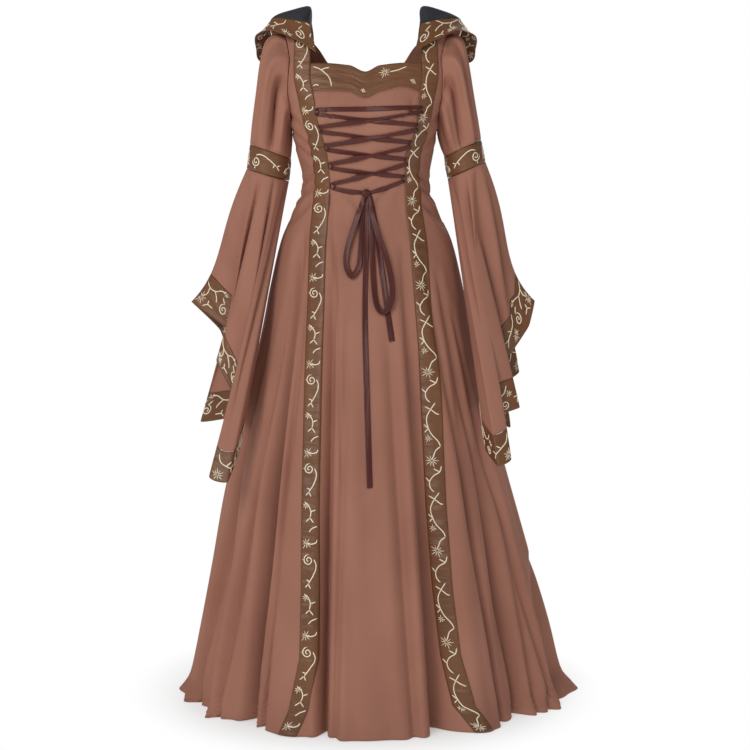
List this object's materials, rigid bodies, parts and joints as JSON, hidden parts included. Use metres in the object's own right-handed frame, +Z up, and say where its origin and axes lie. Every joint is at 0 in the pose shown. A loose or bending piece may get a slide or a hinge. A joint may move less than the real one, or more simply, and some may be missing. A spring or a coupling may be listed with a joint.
{
  "type": "medieval gown",
  "caption": "long hooded gown with trumpet sleeves, filled out as worn with no wearer: laced front, trimmed princess seams, wide cuffs, hood thrown back",
  "frame": {"origin": "midway between the tops of the shoulders, where a wearer's shoulders hold the gown up", "axes": "+Z up, towards the neck; the front faces -Y; +X is to the right of someone who looks at the front"},
  "size_m": [0.8319, 0.7612, 1.4274],
  "materials": {
    "gown": "dusty rose-brown crepe, soft, low sheen",
    "trim": "brown satin brocade with cream embroidery",
    "lining": "charcoal plain-weave lining",
    "ribbon": "dark brown satin ribbon"
  },
  "bodies": {
    "root": {"front_panel": "gown", "front_yoke": "trim", "side_front_left": "gown", "back_left": "gown", "trim_band_left": "trim", "sleeve_upper_left": "gown", "arm_band_left": "trim", "sleeve_lower_left": "gown", "cuff_band_left": "trim", "side_front_right": "gown", "back_right": "gown", "trim_band_right": "trim", "sleeve_upper_right": "gown", "arm_band_right": "trim", "sleeve_lower_right": "gown", "cuff_band_right": "trim", "hood_lining": "lining", "hood_shell": "gown", "hood_band": "trim", "lace_bar": "ribbon", "lace_right_1": "ribbon", "lace_left_1": "ribbon", "lace_right_2": "ribbon", "lace_left_2": "ribbon", "lace_right_3": "ribbon", "lace_left_3": "ribbon", "lace_right_4": "ribbon", "lace_left_4": "ribbon", "lace_end_left": "ribbon", "lace_end_right": "ribbon", "bow_knot": "ribbon", "bow_loop_left": "ribbon", "bow_loop_right": "ribbon", "lace_tail_short": "ribbon", "lace_tail_long": "ribbon"}
  },
  "joints": []
}
